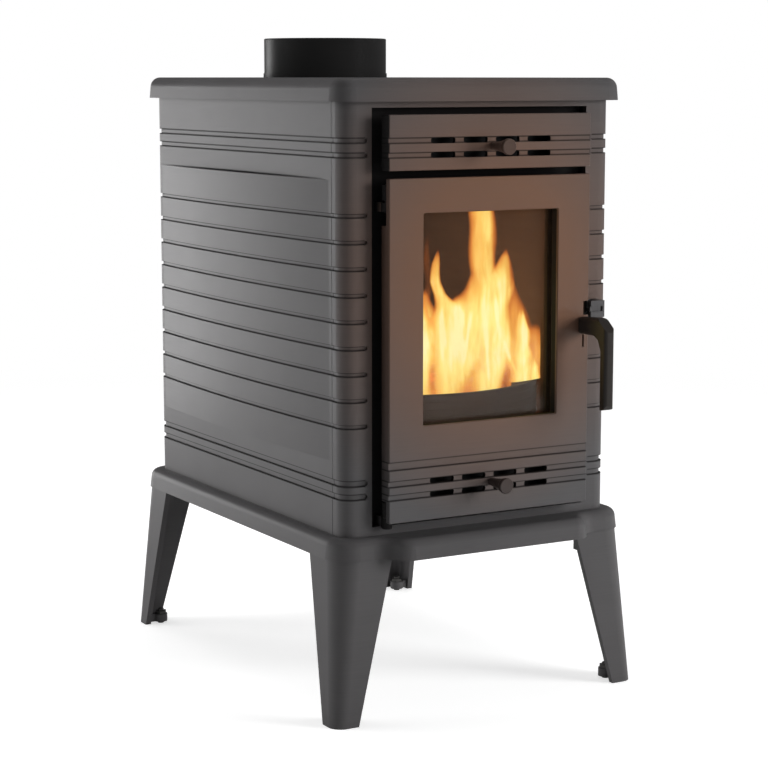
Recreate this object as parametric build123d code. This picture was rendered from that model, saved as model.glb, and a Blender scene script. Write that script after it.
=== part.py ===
from build123d import *
import math
import os

# Cast iron wood stove on four splayed legs. Millimetres, +Z up, the door faces -Y.
# Origin at floor level, under the middle of the whole stove.

# Body
half_width = 173.0
front_y = -219.75
rear_y = front_y + 490.0
body_z0 = 203.8
body_z1 = 690.0
corner_r = 17.0
wall = 7.0
seam_depth = 25.5

# Bow of the side walls
bow_rise = 7.0
bow_y0 = front_y + 32.0
bow_y1 = front_y + 470.0
bow_z0 = 285.5
bow_z1 = 590.0
vent_gap = 1.4

# Grooves that run round the body
channel_depth = 2.2
channels = [(628.4, 633.9), (613.0, 618.3), (259.3, 265.6), (244.5, 250.7)]
slat_top = 554.1
slat_pitch = 28.37
slat_count = 9
slat_height = 4.8
groove_end_x = 143.3

# Top plate and flue collar
plate_top = 697.0
lip_z0 = 672.0
lip_out = 11.0
lip_r = 22.0
collar_y = front_y + 362.6
collar_r = 75.0
collar_wall = 6.0
collar_top = 744.0

# Base frame and legs
base_z0 = 181.0
base_half = 190.0
boss_y = front_y - 17.0
rail_y = front_y - 42.0
rail_half = 106.0
base_rear_y = front_y + 507.0
leg_mid_y = (boss_y + base_rear_y) / 2
deck_z = 197.5
pad_z = 189.5
leg_bolts_xy = [(142.0, front_y + 18.0), (164.0, front_y + 18.0)]
tie_rod_xy = (154.0, front_y + 33.0)
foot_x = 198.3
foot_y = front_y - 25.5
foot_stud_xy = (176.0, front_y)

# Recess in the front casting, and the panels that stand in it
recess_half = 138.0
recess_z0 = 213.0
recess_z1 = 665.6
recess_y = front_y + 14.0
door_half = 129.0
door_y = front_y - 22.1
door_back = front_y - 5.5
door_z0 = 219.3
door_z1 = 591.2
panel_z0 = 599.4
panel_z1 = 658.4
face_thick = 7.0
rim_thick = 5.0

# Glass
glass_half = 86.5
glass_z0 = 324.0
glass_z1 = 553.8

# Air slots
slot_centres = (-61.5, -20.5, 20.5, 61.5)
slot_width = 30.6
slot_height = 6.4
slot_corner = 2.6
door_band = (277.7, 286.4)
upper_rows = (631.0, 615.6)
lower_rows = (262.3, 247.4)

# Door pivot, handle and air knobs
hinge_x = -124.0
hinge_y = front_y - 8.5
knuckle_r = 5.5
pin_r = 3.0
fit = 0.05
pivot_x = 121.0
pivot_z = 422.0
spindle_r = 5.0
snug = 0.02
keeper_z0 = 429.0
keeper_z1 = 448.0
keeper_screw_x = 149.2
keeper_screw_z = (432.6, 444.4)
upper_knob_z = 623.9
lower_knob_z = 254.8
damper_r = 3.0


def block(x0, x1, y0, y1, z0, z1):
    centre = Pos((x0 + x1) / 2, (y0 + y1) / 2, (z0 + z1) / 2)
    return centre * Box(x1 - x0, y1 - y0, z1 - z0)


def rod_z(x, y, z0, z1, r):
    return Pos(x, y, (z0 + z1) / 2) * Cylinder(r, z1 - z0)


def rod_y(x, z, y0, y1, r):
    return Pos(x, (y0 + y1) / 2, z) * Rot(90, 0, 0) * Cylinder(r, y1 - y0)


def hex_z(x, y, z0, z1, r):
    return Pos(x, y, z0) * extrude(RegularPolygon(r, 6), z1 - z0)


def hex_y(x, z, y0, y1, r):
    return Pos(x, y1, z) * Rot(90, 0, 0) * extrude(RegularPolygon(r, 6), y1 - y0)


def ring_xz(half, z0, z1, band, y0, y1, r):
    # Upright rectangular ring with rounded corners, lying in the plane of the front.
    height = z1 - z0
    outer = RectangleRounded(2 * half, height, r)
    inner = RectangleRounded(2 * (half - band), height - 2 * band, max(r - band, 1.0))
    return Pos(0, y1, (z0 + z1) / 2) * Rot(90, 0, 0) * extrude(outer - inner, y1 - y0)


def plate_xz(half, z0, z1, y0, y1, r):
    outer = RectangleRounded(2 * half, z1 - z0, r)
    return Pos(0, y1, (z0 + z1) / 2) * Rot(90, 0, 0) * extrude(outer, y1 - y0)


def plate_xy(half, y0, y1, z0, z1, r):
    outer = RectangleRounded(2 * half, y1 - y0, r)
    return Pos(0, (y0 + y1) / 2, z0) * extrude(outer, z1 - z0)


def slat_bands():
    bands = []
    for i in range(slat_count):
        top = slat_top - i * slat_pitch
        bands.append((top - slat_height, top))
    return bands


def mirror_x(shape):
    return mirror(shape, about=Plane.YZ)


def to_rear(shape):
    return mirror(shape, about=Plane((0, leg_mid_y, 0), x_dir=(1, 0, 0), z_dir=(0, 1, 0)))


def four_corners(shape):
    right = [shape, to_rear(shape)]
    return right + [mirror_x(s) for s in right]


# Base frame
def arc_through(cx, cy, r, a0, a1):
    points = []
    for a in (a0, (a0 + a1) / 2, a1):
        points.append((cx + r * math.cos(math.radians(a)), cy + r * math.sin(math.radians(a))))
    return ThreePointArc(*points), points[0], points[2]


def base_outline():
    # Straight hearth lip in front, joined to the set-back corners by two ogees.
    r = 21.0
    sweep = 66.0
    corner = 29.0
    c1 = (rail_half, rail_y + r)
    c2 = (c1[0] + 2 * r * math.cos(math.radians(sweep - 90)),
          c1[1] + 2 * r * math.sin(math.radians(sweep - 90)))
    lip, lip_start, lip_end = arc_through(c1[0], c1[1], r, -90, sweep - 90)
    cove, _, cove_end = arc_through(c2[0], c2[1], r, 90 + sweep, 90)
    front, front_start, front_end = arc_through(base_half - corner, boss_y + corner, corner, -90, 0)
    back, back_start, back_end = arc_through(base_half - corner, base_rear_y - corner, corner, 0, 90)
    edges = [
        Line((0, rail_y), lip_start),
        lip,
        cove,
        Line(cove_end, front_start),
        front,
        Line(front_end, back_start),
        back,
        Line(back_end, (0, base_rear_y)),
        Line((0, base_rear_y), (0, rail_y)),
    ]
    half = make_face(Wire(edges))
    return half + mirror(half, about=Plane.YZ)


def base_frame():
    outline = base_outline()
    body = extrude(Pos(0, 0, base_z0) * outline, body_z0 - base_z0, taper=7)
    top_edges = body.faces().sort_by(Axis.Z)[-1].outer_wire().edges()
    body = fillet(top_edges, 10.0)
    hollow = offset(outline, amount=-wall)
    body -= extrude(Pos(0, 0, base_z0 - 1) * hollow, deck_z - base_z0 + 1)
    window = Pos(0, leg_mid_y, deck_z - 1) * extrude(RectangleRounded(210, 350, 20), 12)
    body -= window
    for x, y in leg_bolts_xy + [tie_rod_xy]:
        for hole in four_corners(rod_z(x, y, deck_z - 1, body_z0 + 1, 4.3)):
            body -= hole
    return body


# Legs
def leg_section(x, y, wide_x, wide_y, thick, r):
    k = r - thick
    h = math.sqrt(0.5)
    outer_mid = (x - r + r * h, y + r - r * h)
    inner_mid = (x - r + k * h, y + r - k * h)
    edges = [
        Line((x, y + wide_y), (x, y + r)),
        ThreePointArc((x, y + r), outer_mid, (x - r, y)),
        Line((x - r, y), (x - wide_x, y)),
        Line((x - wide_x, y), (x - wide_x, y + thick)),
        Line((x - wide_x, y + thick), (x - r, y + thick)),
        ThreePointArc((x - r, y + thick), inner_mid, (x - thick, y + r)),
        Line((x - thick, y + r), (x - thick, y + wide_y)),
        Line((x - thick, y + wide_y), (x, y + wide_y)),
    ]
    return make_face(Wire(edges))


def front_right_leg():
    foot = leg_section(foot_x, foot_y, 29.8, 28.5, wall, 15.0)
    top = leg_section(188.0, front_y - 15.0, 67.0, 66.0, wall, 27.0)
    leg = loft([foot, Pos(0, 0, base_z0) * top], ruled=True)
    head = leg_section(182.4, boss_y + 7.6, 56.0, 54.0, wall, 21.0)
    leg += extrude(Pos(0, 0, 160) * head, deck_z - 160)
    pad = Pos(154.2, boss_y + 34.8, pad_z) * extrude(RectangleRounded(56.4, 54.4, 20), deck_z - pad_z)
    leg += pad
    sx, sy = foot_stud_xy
    leg += rod_z(sx, sy, 2.5, 12, 8.5) + block(sx, foot_x - 4, sy - 8.5, sy + 2, 2.5, 12)
    leg -= rod_z(sx, sy, 0, 20, 4.3)
    for x, y in leg_bolts_xy + [tie_rod_xy]:
        leg -= rod_z(x, y, 180, 205, 4.3)
    return leg


def leg_bolts():
    solids = []
    for x, y in leg_bolts_xy:
        bolt = hex_z(x, y, pad_z - 5.5, pad_z, 7.2) + rod_z(x, y, pad_z - 1, body_z0 - 0.5, 4.0)
        solids += four_corners(bolt)
    return Compound(solids)


def levelling_studs():
    x, y = foot_stud_xy
    stud = rod_z(x, y, 0, 19, 4.0)
    stud = chamfer(stud.edges().sort_by(Axis.Z)[-1], 0.8)
    return Compound(four_corners(stud))


def levelling_nuts():
    x, y = foot_stud_xy
    nut = hex_z(x, y, 12, 16, 7.5) - rod_z(x, y, 11, 17, 4.3)
    return Compound(four_corners(nut))


def tie_rods():
    x, y = tie_rod_xy
    return Compound(four_corners(rod_z(x, y, pad_z - 9, 687, 4.0)))


def tie_rod_nuts():
    x, y = tie_rod_xy
    nut = hex_z(x, y, pad_z - 6, pad_z, 7.5) - rod_z(x, y, pad_z - 7, pad_z + 1, 4.3)
    return Compound(four_corners(nut))


# Front casting
def front_block(inset, z0, z1):
    half = half_width - inset
    y0 = front_y + inset
    y1 = front_y + seam_depth - 0.4
    r = corner_r - inset
    shape = block(-half, half, y0, y1, z0, z1)
    front_edges = shape.edges().filter_by(Axis.Z).group_by(Axis.Y)[0]
    return fillet(front_edges, r)


def groove_ring(z0, z1):
    # Cutter that follows the front and its rounded corners, ending in round ends.
    ring = front_block(-1.0, z0, z1) - front_block(channel_depth, z0 - 1, z1 + 1)
    r = (z1 - z0) / 2
    end_x = groove_end_x + r
    ring -= block(-end_x, end_x, front_y - 5, front_y + 40, z0 - 1, z1 + 1)
    for x in (-end_x, end_x):
        ring += rod_y(x, (z0 + z1) / 2, front_y - 1, front_y + channel_depth, r)
    return ring


def front_frame():
    shell = front_block(0.0, body_z0, body_z1)
    shell -= block(wall - half_width, half_width - wall, front_y + wall, front_y + 40, body_z0 - 1, body_z1 + 1)
    shell -= block(-recess_half, recess_half, front_y - 1, front_y + wall + 1, recess_z0, recess_z1)
    jamb = block(-recess_half - 6, recess_half + 6, front_y + 1, recess_y + 6, body_z0, recess_z1 + 6)
    jamb -= block(-recess_half, recess_half, front_y, recess_y, recess_z0, recess_z1)
    frame = shell + jamb
    frame -= plate_xz(97, 296, 570, recess_y - 5, recess_y + 10, 8)
    frame -= plate_xz(97, 240, 286, recess_y - 5, recess_y + 10, 4)
    frame -= plate_xz(88, 606, 650, recess_y - 5, recess_y + 10, 4)
    frame += hinge_lugs()
    for z0, z1 in channels + slat_bands():
        frame -= groove_ring(z0, z1)
    for x in (-112, 112):
        frame -= rod_y(x, 629, recess_y - 1, recess_y + 7, 3.3)
    for z in keeper_screw_z:
        frame -= rod_y(keeper_screw_x, z, front_y - 1, front_y + wall + 1, 2.2)
    return frame


def hinge_lugs():
    lugs = []
    for z0, z1, bore_z0 in ((555.7, 565.5, 555.0), (212.0, 224.0, 213.5)):
        lug = rod_z(hinge_x, hinge_y, z0, z1, knuckle_r)
        lug += block(hinge_x - 3.5, hinge_x + 4.5, hinge_y, recess_y + 1, z0, z1)
        lugs.append(lug - rod_z(hinge_x, hinge_y, bore_z0, z1 + 1, pin_r + fit))
    return lugs[0] + lugs[1]


def hinge_pins():
    upper = rod_z(hinge_x, hinge_y, 555, 584.8, pin_r)
    lower = rod_z(hinge_x, hinge_y, 214, 241.8, pin_r)
    pins = []
    for pin in (upper, lower):
        pins.append(chamfer(pin.edges().sort_by(Axis.Z)[-1], 0.8))
    return Compound(pins)


def hinge_washer():
    return rod_z(hinge_x, hinge_y, 224, 225, 5.3) - rod_z(hinge_x, hinge_y, 223, 226, pin_r + 0.3)


# Side and rear walls
def side_profile(inset, bow, notch):
    # Plan of the left wall: flat or bowed outer line, round rear corner, short return.
    x_out = -half_width + inset
    x_in = -half_width + wall
    y_end = rear_y - corner_r
    y_out = rear_y - inset
    r = corner_r - inset
    h = r * math.sqrt(0.5)
    cx = -half_width + corner_r
    start = (x_out, front_y + seam_depth + 0.4)
    if notch:
        a = (-half_width, bow_y0)
        b = (-half_width, bow_y1)
        mid = (-half_width + 2.5, (bow_y0 + bow_y1) / 2)
        edges = [Line(start, a), ThreePointArc(a, mid, b), Line(b, (x_out, y_end))]
    elif bow:
        a = (x_out, bow_y0)
        b = (x_out, bow_y1)
        mid = (x_out - bow_rise, (bow_y0 + bow_y1) / 2)
        edges = [Line(start, a), ThreePointArc(a, mid, b), Line(b, (x_out, y_end))]
    else:
        edges = [Line(start, (x_out, y_end))]
    edges += [
        ThreePointArc((x_out, y_end), (cx - h, y_end + h), (cx, y_out)),
        Line((cx, y_out), (-148.0, y_out)),
        Line((-148.0, y_out), (-148.0, rear_y - wall)),
        Line((-148.0, rear_y - wall), (cx, rear_y - wall)),
        ThreePointArc((cx, rear_y - wall), (cx - (corner_r - wall) * math.sqrt(0.5),
                      y_end + (corner_r - wall) * math.sqrt(0.5)), (x_in, y_end)),
        Line((x_in, y_end), (x_in, start[1])),
        Line((x_in, start[1]), start),
    ]
    return make_face(Wire(edges))


def left_wall():
    cuts = [(z0, z1, "groove") for z0, z1 in channels + slat_bands()]
    cuts.append((bow_z1 - vent_gap / 2, bow_z1 + vent_gap / 2, "notch"))
    cuts.sort()
    levels = [body_z0]
    kinds = []
    for z0, z1, kind in cuts:
        levels += [z0, z1]
        kinds += ["plain", kind]
    levels.append(body_z1)
    kinds.append("plain")
    solids = []
    for i, kind in enumerate(kinds):
        z0 = levels[i]
        z1 = levels[i + 1]
        spans = [(z0, z1)]
        if z0 < bow_z0 < z1:
            spans = [(z0, bow_z0), (bow_z0, z1)]
        for a, b in spans:
            middle = (a + b) / 2
            bowed = bow_z0 < middle < bow_z1
            inset = channel_depth if kind == "groove" else 0.0
            face = side_profile(inset, bowed, kind == "notch")
            solids.append(extrude(Pos(0, 0, a) * face, b - a))
    shape = solids[0].fuse(*solids[1:])
    return shape.clean()


def rear_wall():
    panel = block(-147.7, 147.7, rear_y - wall, rear_y, body_z0, body_z1)
    for z in (300, 450, 600):
        panel += block(-120, 120, rear_y, rear_y + 3, z - 6, z + 6)
    return panel


def bottom_plate():
    plate = plate_xy(165.5, front_y + 20.4, rear_y - wall - 0.4, body_z0, body_z0 + 7, 12)
    for x in (-63, 63):
        plate += block(x - 4, x + 4, front_y + 24, front_y + 332, body_z0 + 6, 243)
    for hole in four_corners(rod_z(tie_rod_xy[0], tie_rod_xy[1], 200, 220, 4.3)):
        plate -= hole
    return plate


# Top plate and collar
def top_plate():
    rear_edge = rear_y + 8.0
    front_edge = front_y - lip_out
    half = half_width + lip_out
    mid = (front_edge + rear_edge) / 2
    outline = Pos(0, mid, lip_z0) * RectangleRounded(2 * half, rear_edge - front_edge, lip_r)
    plate = extrude(outline, plate_top - lip_z0, taper=5)
    plate = fillet(plate.faces().sort_by(Axis.Z)[-1].outer_wire().edges(), 12.0)
    under = RectangleRounded(2 * half - 12, rear_edge - front_edge - 12, lip_r - 6)
    plate -= Pos(0, mid, lip_z0 - 1) * extrude(under, body_z1 - lip_z0 + 1)
    plate -= rod_z(0, collar_y, 680, 700, collar_r + 0.3)
    for boss in four_corners(rod_z(tie_rod_xy[0], tie_rod_xy[1], 676, 691, 9)):
        plate += boss
    for hole in four_corners(rod_z(tie_rod_xy[0], tie_rod_xy[1], 670, 688, 4.3)):
        plate -= hole
    for x, y in collar_bolt_points():
        plate -= rod_z(x, y, 689, 694, 3.3)
    return plate


def collar_bolt_points():
    points = []
    for i in range(3):
        a = math.radians(90 + 120 * i)
        points.append((84 * math.cos(a), collar_y + 84 * math.sin(a)))
    return points


def flue_collar():
    tube = rod_z(0, collar_y, body_z1 - 6, collar_top, collar_r)
    tube += rod_z(0, collar_y, body_z1 - 6, body_z1, 92)
    tube += rod_z(0, collar_y, plate_top, plate_top + 5, collar_r + 1)
    tube -= rod_z(0, collar_y, body_z1 - 10, collar_top + 1, collar_r - collar_wall)
    rim = tube.edges().filter_by(GeomType.CIRCLE).group_by(Axis.Z)[-1]
    tube = fillet(rim, 1.5)
    for x, y in collar_bolt_points():
        tube -= rod_z(x, y, body_z1 - 8, body_z1 + 1, 3.3)
    return tube


def collar_bolts():
    solids = []
    for x, y in collar_bolt_points():
        solids.append(hex_z(x, y, 680, 684, 5.6) + rod_z(x, y, 683, 693.5, 3.0))
    return Compound(solids)


# Upper air panel
def air_slots(z_rows):
    cutters = []
    for z in z_rows:
        for x in slot_centres:
            slot = RectangleRounded(slot_width, slot_height, slot_corner)
            cutters.append(Pos(x, door_y + 12, z) * Rot(90, 0, 0) * extrude(slot, 14))
    return cutters


def face_grooves(z0, z1):
    return block(-door_half - 1, door_half + 1, door_y - 1, door_y + channel_depth, z0, z1)


def upper_panel():
    face = plate_xz(door_half, panel_z0, panel_z1, door_y, door_y + face_thick, 1.5)
    face = chamfer(face.faces().sort_by(Axis.Y)[0].outer_wire().edges(), 0.8)
    face += ring_xz(door_half, panel_z0, panel_z1, rim_thick, door_y + face_thick, door_back, 1.5)
    for x in (-112, 112):
        face += rod_y(x, 629, door_y + 5, recess_y, 7.0)
        face -= rod_y(x, 629, recess_y - 12, recess_y + 1, 3.3)
    for z0, z1 in channels[:2]:
        face -= face_grooves(z0, z1)
    for slot in air_slots(upper_rows):
        face -= slot
    face -= rod_y(0, upper_knob_z, door_y - 1, door_y + 9, damper_r + fit)
    return face


def panel_bolts():
    solids = []
    for x in (-112, 112):
        bolt = hex_y(x, 629, recess_y + 6, recess_y + 10, 5.6)
        bolt += rod_y(x, 629, recess_y - 10, recess_y + 7, 3.0)
        solids.append(bolt)
    return Compound(solids)


# Air dampers, a flat plate on a stem behind the slots
def damper(knob_z, z0, z1):
    plate = plate_xz(84, z0, z1, front_y - 3.5, front_y - 0.5, 3)
    stem = rod_y(0, knob_z, door_y - 17.9, front_y - 1.0, damper_r)
    return plate + stem


def air_knob(knob_z):
    # Half profile turned about the stem: a slim cone that ends in a flat disc.
    y0 = door_y - 2.0
    profile = [(damper_r + snug, 0), (4.2, 0), (5.0, 9), (6.4, 19), (7.9, 26), (8.75, 28),
               (8.75, 31.0), (8.0, 32.0), (0, 32.0), (0, 16.4), (damper_r + snug, 16.4)]
    edges = []
    for i, (r, y) in enumerate(profile):
        r2, y2 = profile[(i + 1) % len(profile)]
        edges.append(Line((r, y, 0), (r2, y2, 0)))
    turned = revolve(make_face(Wire(edges)), Axis.Y, 360)
    return Pos(0, y0, knob_z) * Rot(180, 0, 0) * turned


# Door
def door_frame():
    door = plate_xz(door_half, door_z0, door_z1, door_y, door_y + face_thick, 1.5)
    door = chamfer(door.faces().sort_by(Axis.Y)[0].outer_wire().edges(), 0.8)
    door += ring_xz(door_half, door_z0, door_z1, rim_thick, door_y + face_thick, door_back, 1.5)
    door += ring_xz(109, 228, 584, 8, door_y + 6, front_y + 5, 8)
    door += ring_xz(104, 306, 572, 20, door_y + 6, front_y - 11.4, 4)
    door -= block(-145, -117, door_y + face_thick, front_y + 8, 541, 592)
    door -= block(-145, -117, door_y + face_thick, front_y + 8, 218, 242.5)
    door += hinge_knuckle(568.0, 584.0)
    door += hinge_knuckle(225.0, 241.0)
    for x, z in clip_points():
        door += rod_y(x, z, door_y + 6, front_y - 5.4, 4.5)
        door -= rod_y(x, z, front_y - 13, front_y - 5, 2.5)
    opening = plate_xz(glass_half, glass_z0, glass_z1, door_y - 1, front_y + 2, 1.5)
    door -= opening
    lip = door.faces().sort_by(Axis.Y)[0].inner_wires()[0].edges()
    door = chamfer(lip, 1.0)
    door -= face_grooves(*door_band)
    for z0, z1 in channels[2:]:
        door -= face_grooves(z0, z1)
    for slot in air_slots(lower_rows):
        door -= slot
    door -= rod_y(0, lower_knob_z, door_y - 1, door_y + 9, damper_r + fit)
    door -= rod_y(pivot_x, pivot_z, door_y - 1, door_y + 9, spindle_r + fit)
    door -= block(122, 130, door_y - 1, front_y, 433, 449)
    door -= block(121, 123.4, door_y - 1, door_y + 9, 397, 411)
    door -= block(122, 130, door_y + face_thick, front_y, 408, 449)
    return door


def hinge_knuckle(z0, z1):
    knuckle = rod_z(hinge_x, hinge_y, z0, z1, knuckle_r)
    knuckle += block(hinge_x, -105, door_y + face_thick - 1, hinge_y + knuckle_r, z0, z1)
    return knuckle - rod_z(hinge_x, hinge_y, z0 - 1, z1 + 1, pin_r + fit)


def clip_points():
    return [(x, z) for z in (309.0, 569.0) for x in (-60.0, 60.0)]


def glass_gasket():
    return ring_xz(96, 314, 564, 8, front_y - 11.4, front_y - 9.4, 3)


def glass_pane():
    pane = plate_xz(96, 314, 564, front_y - 9.4, front_y - 5.4, 3)
    return chamfer(pane.edges().filter_by(Axis.Z).sort_by(Axis.Y)[-2:], 0.5)


def glass_clips():
    clips = []
    for z0, z1, zc in ((304.5, 320.0, 309.0), (558.0, 574.5, 569.0)):
        clip = plate_xz(70, z0, z1, front_y - 5.4, front_y - 3.4, 2)
        for x in (-60, 60):
            clip -= rod_y(x, zc, front_y - 6, front_y - 3, 2.5)
        clips.append(clip)
    return Compound(clips)


def clip_screws():
    solids = []
    for x, z in clip_points():
        head = hex_y(x, z, front_y - 3.4, front_y - 0.4, 4.4)
        solids.append(head + rod_y(x, z, front_y - 12, front_y - 3, 2.2))
    return Compound(solids)


def door_rope():
    # Round rope laid along the inner rim of the door.
    path = Pos(0, front_y + 9.2, 406) * Rot(90, 0, 0) * RectangleRounded(210, 348, 12).wire()
    start = path.edges()[0] @ 0
    tangent = path.edges()[0] % 0
    section = Plane(origin=start, z_dir=tangent) * Circle(4.0)
    return sweep(section, path)


# Handle and latch
def door_handle():
    # Side outline of the arm and the hanging grip, given as depth in front of the body and height.
    points = [(-24.0, 412.5), (-24.0, 431.5), (-57.0, 433.5), (-60.5, 432.5), (-74.5, 421.5),
              (-76.0, 418.5), (-76.0, 337.0), (-73.0, 332.5), (-67.5, 331.0), (-63.5, 333.0),
              (-63.5, 404.0), (-61.0, 409.5), (-55.0, 412.5)]
    corners = [(0, front_y + d, z) for d, z in points]
    edges = [Line(a, b) for a, b in zip(corners, corners[1:] + corners[:1])]
    handle = Pos(114.5, 0, 0) * extrude(make_face(Wire(edges)), 13, dir=(1, 0, 0))
    long_edges = []
    for edge in handle.edges():
        if edge.length > 20 and abs(edge.tangent_at(0.5).X) < 0.1:
            long_edges.append(edge)
    handle = fillet(long_edges, 4.2)
    return handle - rod_y(pivot_x, pivot_z, front_y - 40, front_y - 23, spindle_r + snug)


def handle_spindle():
    shaft = rod_y(pivot_x, pivot_z, front_y - 39, front_y - 3.4, spindle_r)
    return shaft


def latch_blade():
    hub = rod_y(pivot_x, pivot_z, front_y - 13, front_y - 9, 9.0)
    reach = 22.5
    a = math.radians(35)
    tip_x = pivot_x + reach * math.cos(a)
    tip_z = pivot_z + reach * math.sin(a)
    arm = Pos(pivot_x, front_y - 11, pivot_z) * Rot(0, -35, 0) * Pos(reach / 2, 0, 0) * Box(reach, 4, 9)
    blade = hub + arm + rod_y(tip_x, tip_z, front_y - 13, front_y - 9, 4.5)
    return blade - rod_y(pivot_x, pivot_z, front_y - 14, front_y - 8, spindle_r + snug)


def spindle_nut():
    nut = hex_y(pivot_x, pivot_z, front_y - 9, front_y - 4, 8.5)
    return nut - rod_y(pivot_x, pivot_z, front_y - 10, front_y - 3, spindle_r + snug)


def latch_keeper():
    foot = block(140, 156, front_y - 3, front_y, keeper_z0, keeper_z1)
    web = block(146, 152.5, front_y - 20, front_y - 2, keeper_z0, keeper_z1)
    lip = block(134, 152.5, front_y - 20, front_y - 16, keeper_z0, keeper_z1)
    keeper = foot + web + lip
    keeper -= block(133, 150, front_y - 21, front_y - 18.2, 435.8, 441.8)
    for z in keeper_screw_z:
        keeper -= rod_y(keeper_screw_x, z, front_y - 11, front_y + 1, 2.2)
    return keeper


def keeper_screws():
    # Screwed in from behind the front casting.
    solids = []
    for z in keeper_screw_z:
        head = hex_y(keeper_screw_x, z, front_y + wall, front_y + wall + 3, 4.4)
        solids.append(head + rod_y(keeper_screw_x, z, front_y - 10, front_y + wall + 1, 2.0))
    return Compound(solids)


# Inside the firebox
def fire_floor():
    floor = plate_xy(165, front_y + 21, rear_y - wall - 1, 290, 298, 12)
    floor -= block(-70, 70, front_y + 110, front_y + 330, 289, 299)
    ledge = block(64, 78, front_y + 104, front_y + 336, 285, 290)
    floor += ledge + mirror_x(ledge)
    for hole in four_corners(rod_z(tie_rod_xy[0], tie_rod_xy[1], 285, 300, 4.3)):
        floor -= hole
    return floor


def grate():
    plate = block(-69.6, 69.6, front_y + 110.4, front_y + 329.6, 290, 300)
    for i in range(9):
        x = -56 + i * 14
        for y0 in (front_y + 122, front_y + 226):
            slot = RectangleRounded(7, 92, 3.4)
            plate -= Pos(x, y0 + 46, 289) * extrude(slot, 12)
    return plate


def ash_pan():
    x = 86.0
    y0 = front_y + 27
    y1 = front_y + 328
    pan = block(-x, x, y0, y1, 243, 282)
    pan -= block(-x + 1.6, x - 1.6, y0 + 1.6, y1 - 1.6, 244.6, 283)
    grip = block(-30, 30, y0 - 12, y0 + 1, 272, 274) + block(-30, 30, y0 - 12, y0 - 10, 266, 273)
    return pan + grip


def side_lining(sign):
    x0, x1 = sorted((sign * 140.0, sign * 150.0))
    return block(x0, x1, front_y + 44, front_y + 440, 298, 614)


def rear_lining():
    return block(-139.6, 139.6, front_y + 430, front_y + 440, 298, 614)


def baffle_plate():
    return block(-162, 162, front_y + 92, front_y + 440, 614, 622)


def log_guard():
    # Bowed cast fender across the mouth of the firebox, with shallow flutes.
    rise = 64.0
    half_chord = 136.0
    r = (half_chord ** 2 + rise ** 2) / (2 * rise)
    cy = front_y + 27.0 + r
    cy_back = front_y + 27.0 + rise
    guard = rod_z(0, cy, 298, 347, r) - rod_z(0, cy, 297, 348, r - 6)
    guard &= block(-137, 137, front_y + 20, cy_back, 297, 348)
    for i in range(5):
        z = 304.5 + i * 8.5
        flute = rod_z(0, cy, z, z + 3.0, r + 2) - rod_z(0, cy, z - 1, z + 4, r - 1.0)
        guard -= flute
    return guard


def log_x(x0, x1, y, z, r):
    log = Pos((x0 + x1) / 2, front_y + y, z) * Rot(0, 90, 0) * Cylinder(r, x1 - x0)
    return chamfer(log.edges(), 2.0)


def firewood():
    # Two round logs side by side on the grate and a thinner one on top of them.
    rear = log_x(-112, 118, 143.2, 327.2, 27)
    front = log_x(-72, 86, 85, 324.2, 24)
    upper = log_x(-96, 52, 109.9, 360.6, 20)
    return Compound([rear, front, upper])


def all_parts():
    leg = front_right_leg()
    wall_left = left_wall()
    parts = {
        "base_frame": base_frame(),
        "leg_front_right": leg,
        "leg_front_left": mirror_x(leg),
        "leg_rear_right": to_rear(leg),
        "leg_rear_left": mirror_x(to_rear(leg)),
        "leg_bolts": leg_bolts(),
        "levelling_studs": levelling_studs(),
        "levelling_nuts": levelling_nuts(),
        "tie_rods": tie_rods(),
        "tie_rod_nuts": tie_rod_nuts(),
        "bottom_plate": bottom_plate(),
        "front_frame": front_frame(),
        "hinge_pins": hinge_pins(),
        "hinge_washer": hinge_washer(),
        "side_wall_left": wall_left,
        "side_wall_right": mirror_x(wall_left),
        "rear_wall": rear_wall(),
        "top_plate": top_plate(),
        "flue_collar": flue_collar(),
        "collar_bolts": collar_bolts(),
        "upper_air_panel": upper_panel(),
        "upper_panel_bolts": panel_bolts(),
        "upper_damper": damper(upper_knob_z, 608, 639.5),
        "upper_knob": air_knob(upper_knob_z),
        "latch_keeper": latch_keeper(),
        "keeper_screws": keeper_screws(),
        "door_frame": door_frame(),
        "door_rope": door_rope(),
        "glass_gasket": glass_gasket(),
        "glass_pane": glass_pane(),
        "glass_clips": glass_clips(),
        "clip_screws": clip_screws(),
        "lower_damper": damper(lower_knob_z, 239, 270),
        "lower_knob": air_knob(lower_knob_z),
        "door_handle": door_handle(),
        "handle_spindle": handle_spindle(),
        "latch_blade": latch_blade(),
        "spindle_nut": spindle_nut(),
        "fire_floor": fire_floor(),
        "grate": grate(),
        "ash_pan": ash_pan(),
        "side_lining_left": side_lining(-1),
        "side_lining_right": side_lining(1),
        "rear_lining": rear_lining(),
        "baffle_plate": baffle_plate(),
        "log_guard": log_guard(),
        "firewood": firewood(),
    }
    return parts


os.makedirs("parts", exist_ok=True)
for name, shape in all_parts().items():
    export_step(shape, f"parts/{name}.step")
    print(name, len(shape.solids()), round(shape.volume / 1000, 1))
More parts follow.
